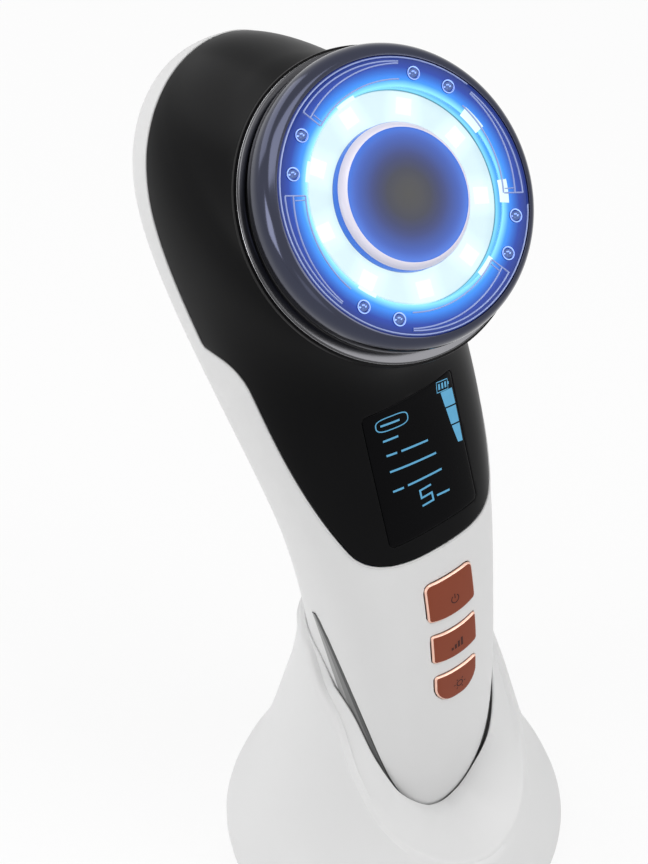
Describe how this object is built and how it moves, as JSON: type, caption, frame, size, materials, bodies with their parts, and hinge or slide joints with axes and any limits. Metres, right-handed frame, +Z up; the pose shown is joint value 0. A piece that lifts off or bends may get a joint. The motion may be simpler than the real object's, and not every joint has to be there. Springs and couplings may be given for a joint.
{
  "type": "mesotherapy facial device",
  "caption": "Handheld facial care device with a leaning round light head, a display and side strips, standing in a flared charging stand.",
  "frame": {"origin": "on the table, under the axis of the round charging stand", "axes": "+Z up, -Y towards the side with the display and the buttons, +X to the right as the buttons are looked at"},
  "size_m": [0.0754, 0.1098, 0.2049],
  "materials": {
    "white_shell": "satin white moulded plastic",
    "black_cover": "satin black moulded plastic",
    "display_window": "glossy smoked panel with lit symbols behind it",
    "chrome": "polished trim",
    "bezel_chrome": "polished domed bezel",
    "black_plastic": "matt black moulded plastic",
    "clear_lens": "clear polished lens with raised lines",
    "electrode_metal": "polished domes",
    "light_guide": "lit diffusing ring",
    "led_light": "lit LED",
    "treatment_plate": "polished metal plate",
    "circuit_board": "green solder mask",
    "ceramic": "matt white ceramic",
    "aluminium": "extruded aluminium",
    "button_metal": "satin copper coloured cap",
    "steel": "plain steel",
    "battery_wrap": "blue shrink sleeve",
    "side_strip": "dark brushed metal",
    "contact_gold": "gold plated contact",
    "stand_plastic": "satin light grey moulded plastic",
    "base_plastic": "matt light grey plastic",
    "rubber": "matt black rubber",
    "ballast_iron": "rough cast iron"
  },
  "bodies": {
    "stand": {"stand_shell": "stand_plastic", "base_plate": "base_plastic", "rubber_pad": "rubber", "base_screws": "steel", "ballast": "ballast_iron", "charge_board": "circuit_board", "power_inlet": "steel", "pin_holder": "black_plastic"},
    "handpiece": {"rear_shell": "white_shell", "front_shell": "white_shell", "head_cover": "black_cover", "display_window": "display_window", "display_module": "steel", "collar_trim": "chrome", "ring_spacer": "black_plastic", "bezel": "bezel_chrome", "lens_ring": "clear_lens", "electrode_domes": "electrode_metal", "light_guide": "light_guide", "led_board": "circuit_board", "leds": "led_light", "treatment_plate": "treatment_plate", "cooler": "ceramic", "heat_sink": "aluminium", "fan_frame": "black_plastic", "switches": "steel", "main_board": "circuit_board", "board_screws": "steel", "battery_cell": "battery_wrap", "battery_tray": "black_plastic", "side_strip_left": "side_strip", "side_strip_right": "side_strip", "charge_contacts": "contact_gold"},
    "fan": {"fan_rotor": "black_plastic"},
    "key_top": {"button_top": "button_metal", "plunger_top": "black_plastic"},
    "key_middle": {"button_middle": "button_metal", "plunger_middle": "black_plastic"},
    "key_low": {"button_low": "button_metal", "plunger_low": "black_plastic"},
    "pin_left": {"charge_pin_left": "contact_gold"},
    "pin_right": {"charge_pin_right": "contact_gold"}
  },
  "joints": [
    {"name": "handpiece_lift", "type": "slide", "parent": "stand", "child": "handpiece", "axis": [0, 0, 1], "range_m": [0, 0.085]},
    {"name": "fan_spin", "type": "hinge", "parent": "handpiece", "child": "fan", "pos_m": [0, 0.0242, 0.16211], "axis": [0, -0.7133, 0.7009], "continuous": true},
    {"name": "key_top_press", "type": "slide", "parent": "handpiece", "child": "key_top", "axis": [0, 0.995, -0.0998], "range_m": [0, 0.0007], "stiffness_N_per_m": 600, "springref_m": -0.0006},
    {"name": "key_middle_press", "type": "slide", "parent": "handpiece", "child": "key_middle", "axis": [0, 0.995, -0.0998], "range_m": [0, 0.0007], "stiffness_N_per_m": 600, "springref_m": -0.0006},
    {"name": "key_low_press", "type": "slide", "parent": "handpiece", "child": "key_low", "axis": [0, 0.995, -0.0998], "range_m": [0, 0.0007], "stiffness_N_per_m": 600, "springref_m": -0.0006},
    {"name": "pin_left_slide", "type": "slide", "parent": "stand", "child": "pin_left", "axis": [0, 0, -1], "range_m": [0, 0.001], "stiffness_N_per_m": 300, "springref_m": -0.0004},
    {"name": "pin_right_slide", "type": "slide", "parent": "stand", "child": "pin_right", "axis": [0, 0, -1], "range_m": [0, 0.001], "stiffness_N_per_m": 300, "springref_m": -0.0004}
  ]
}
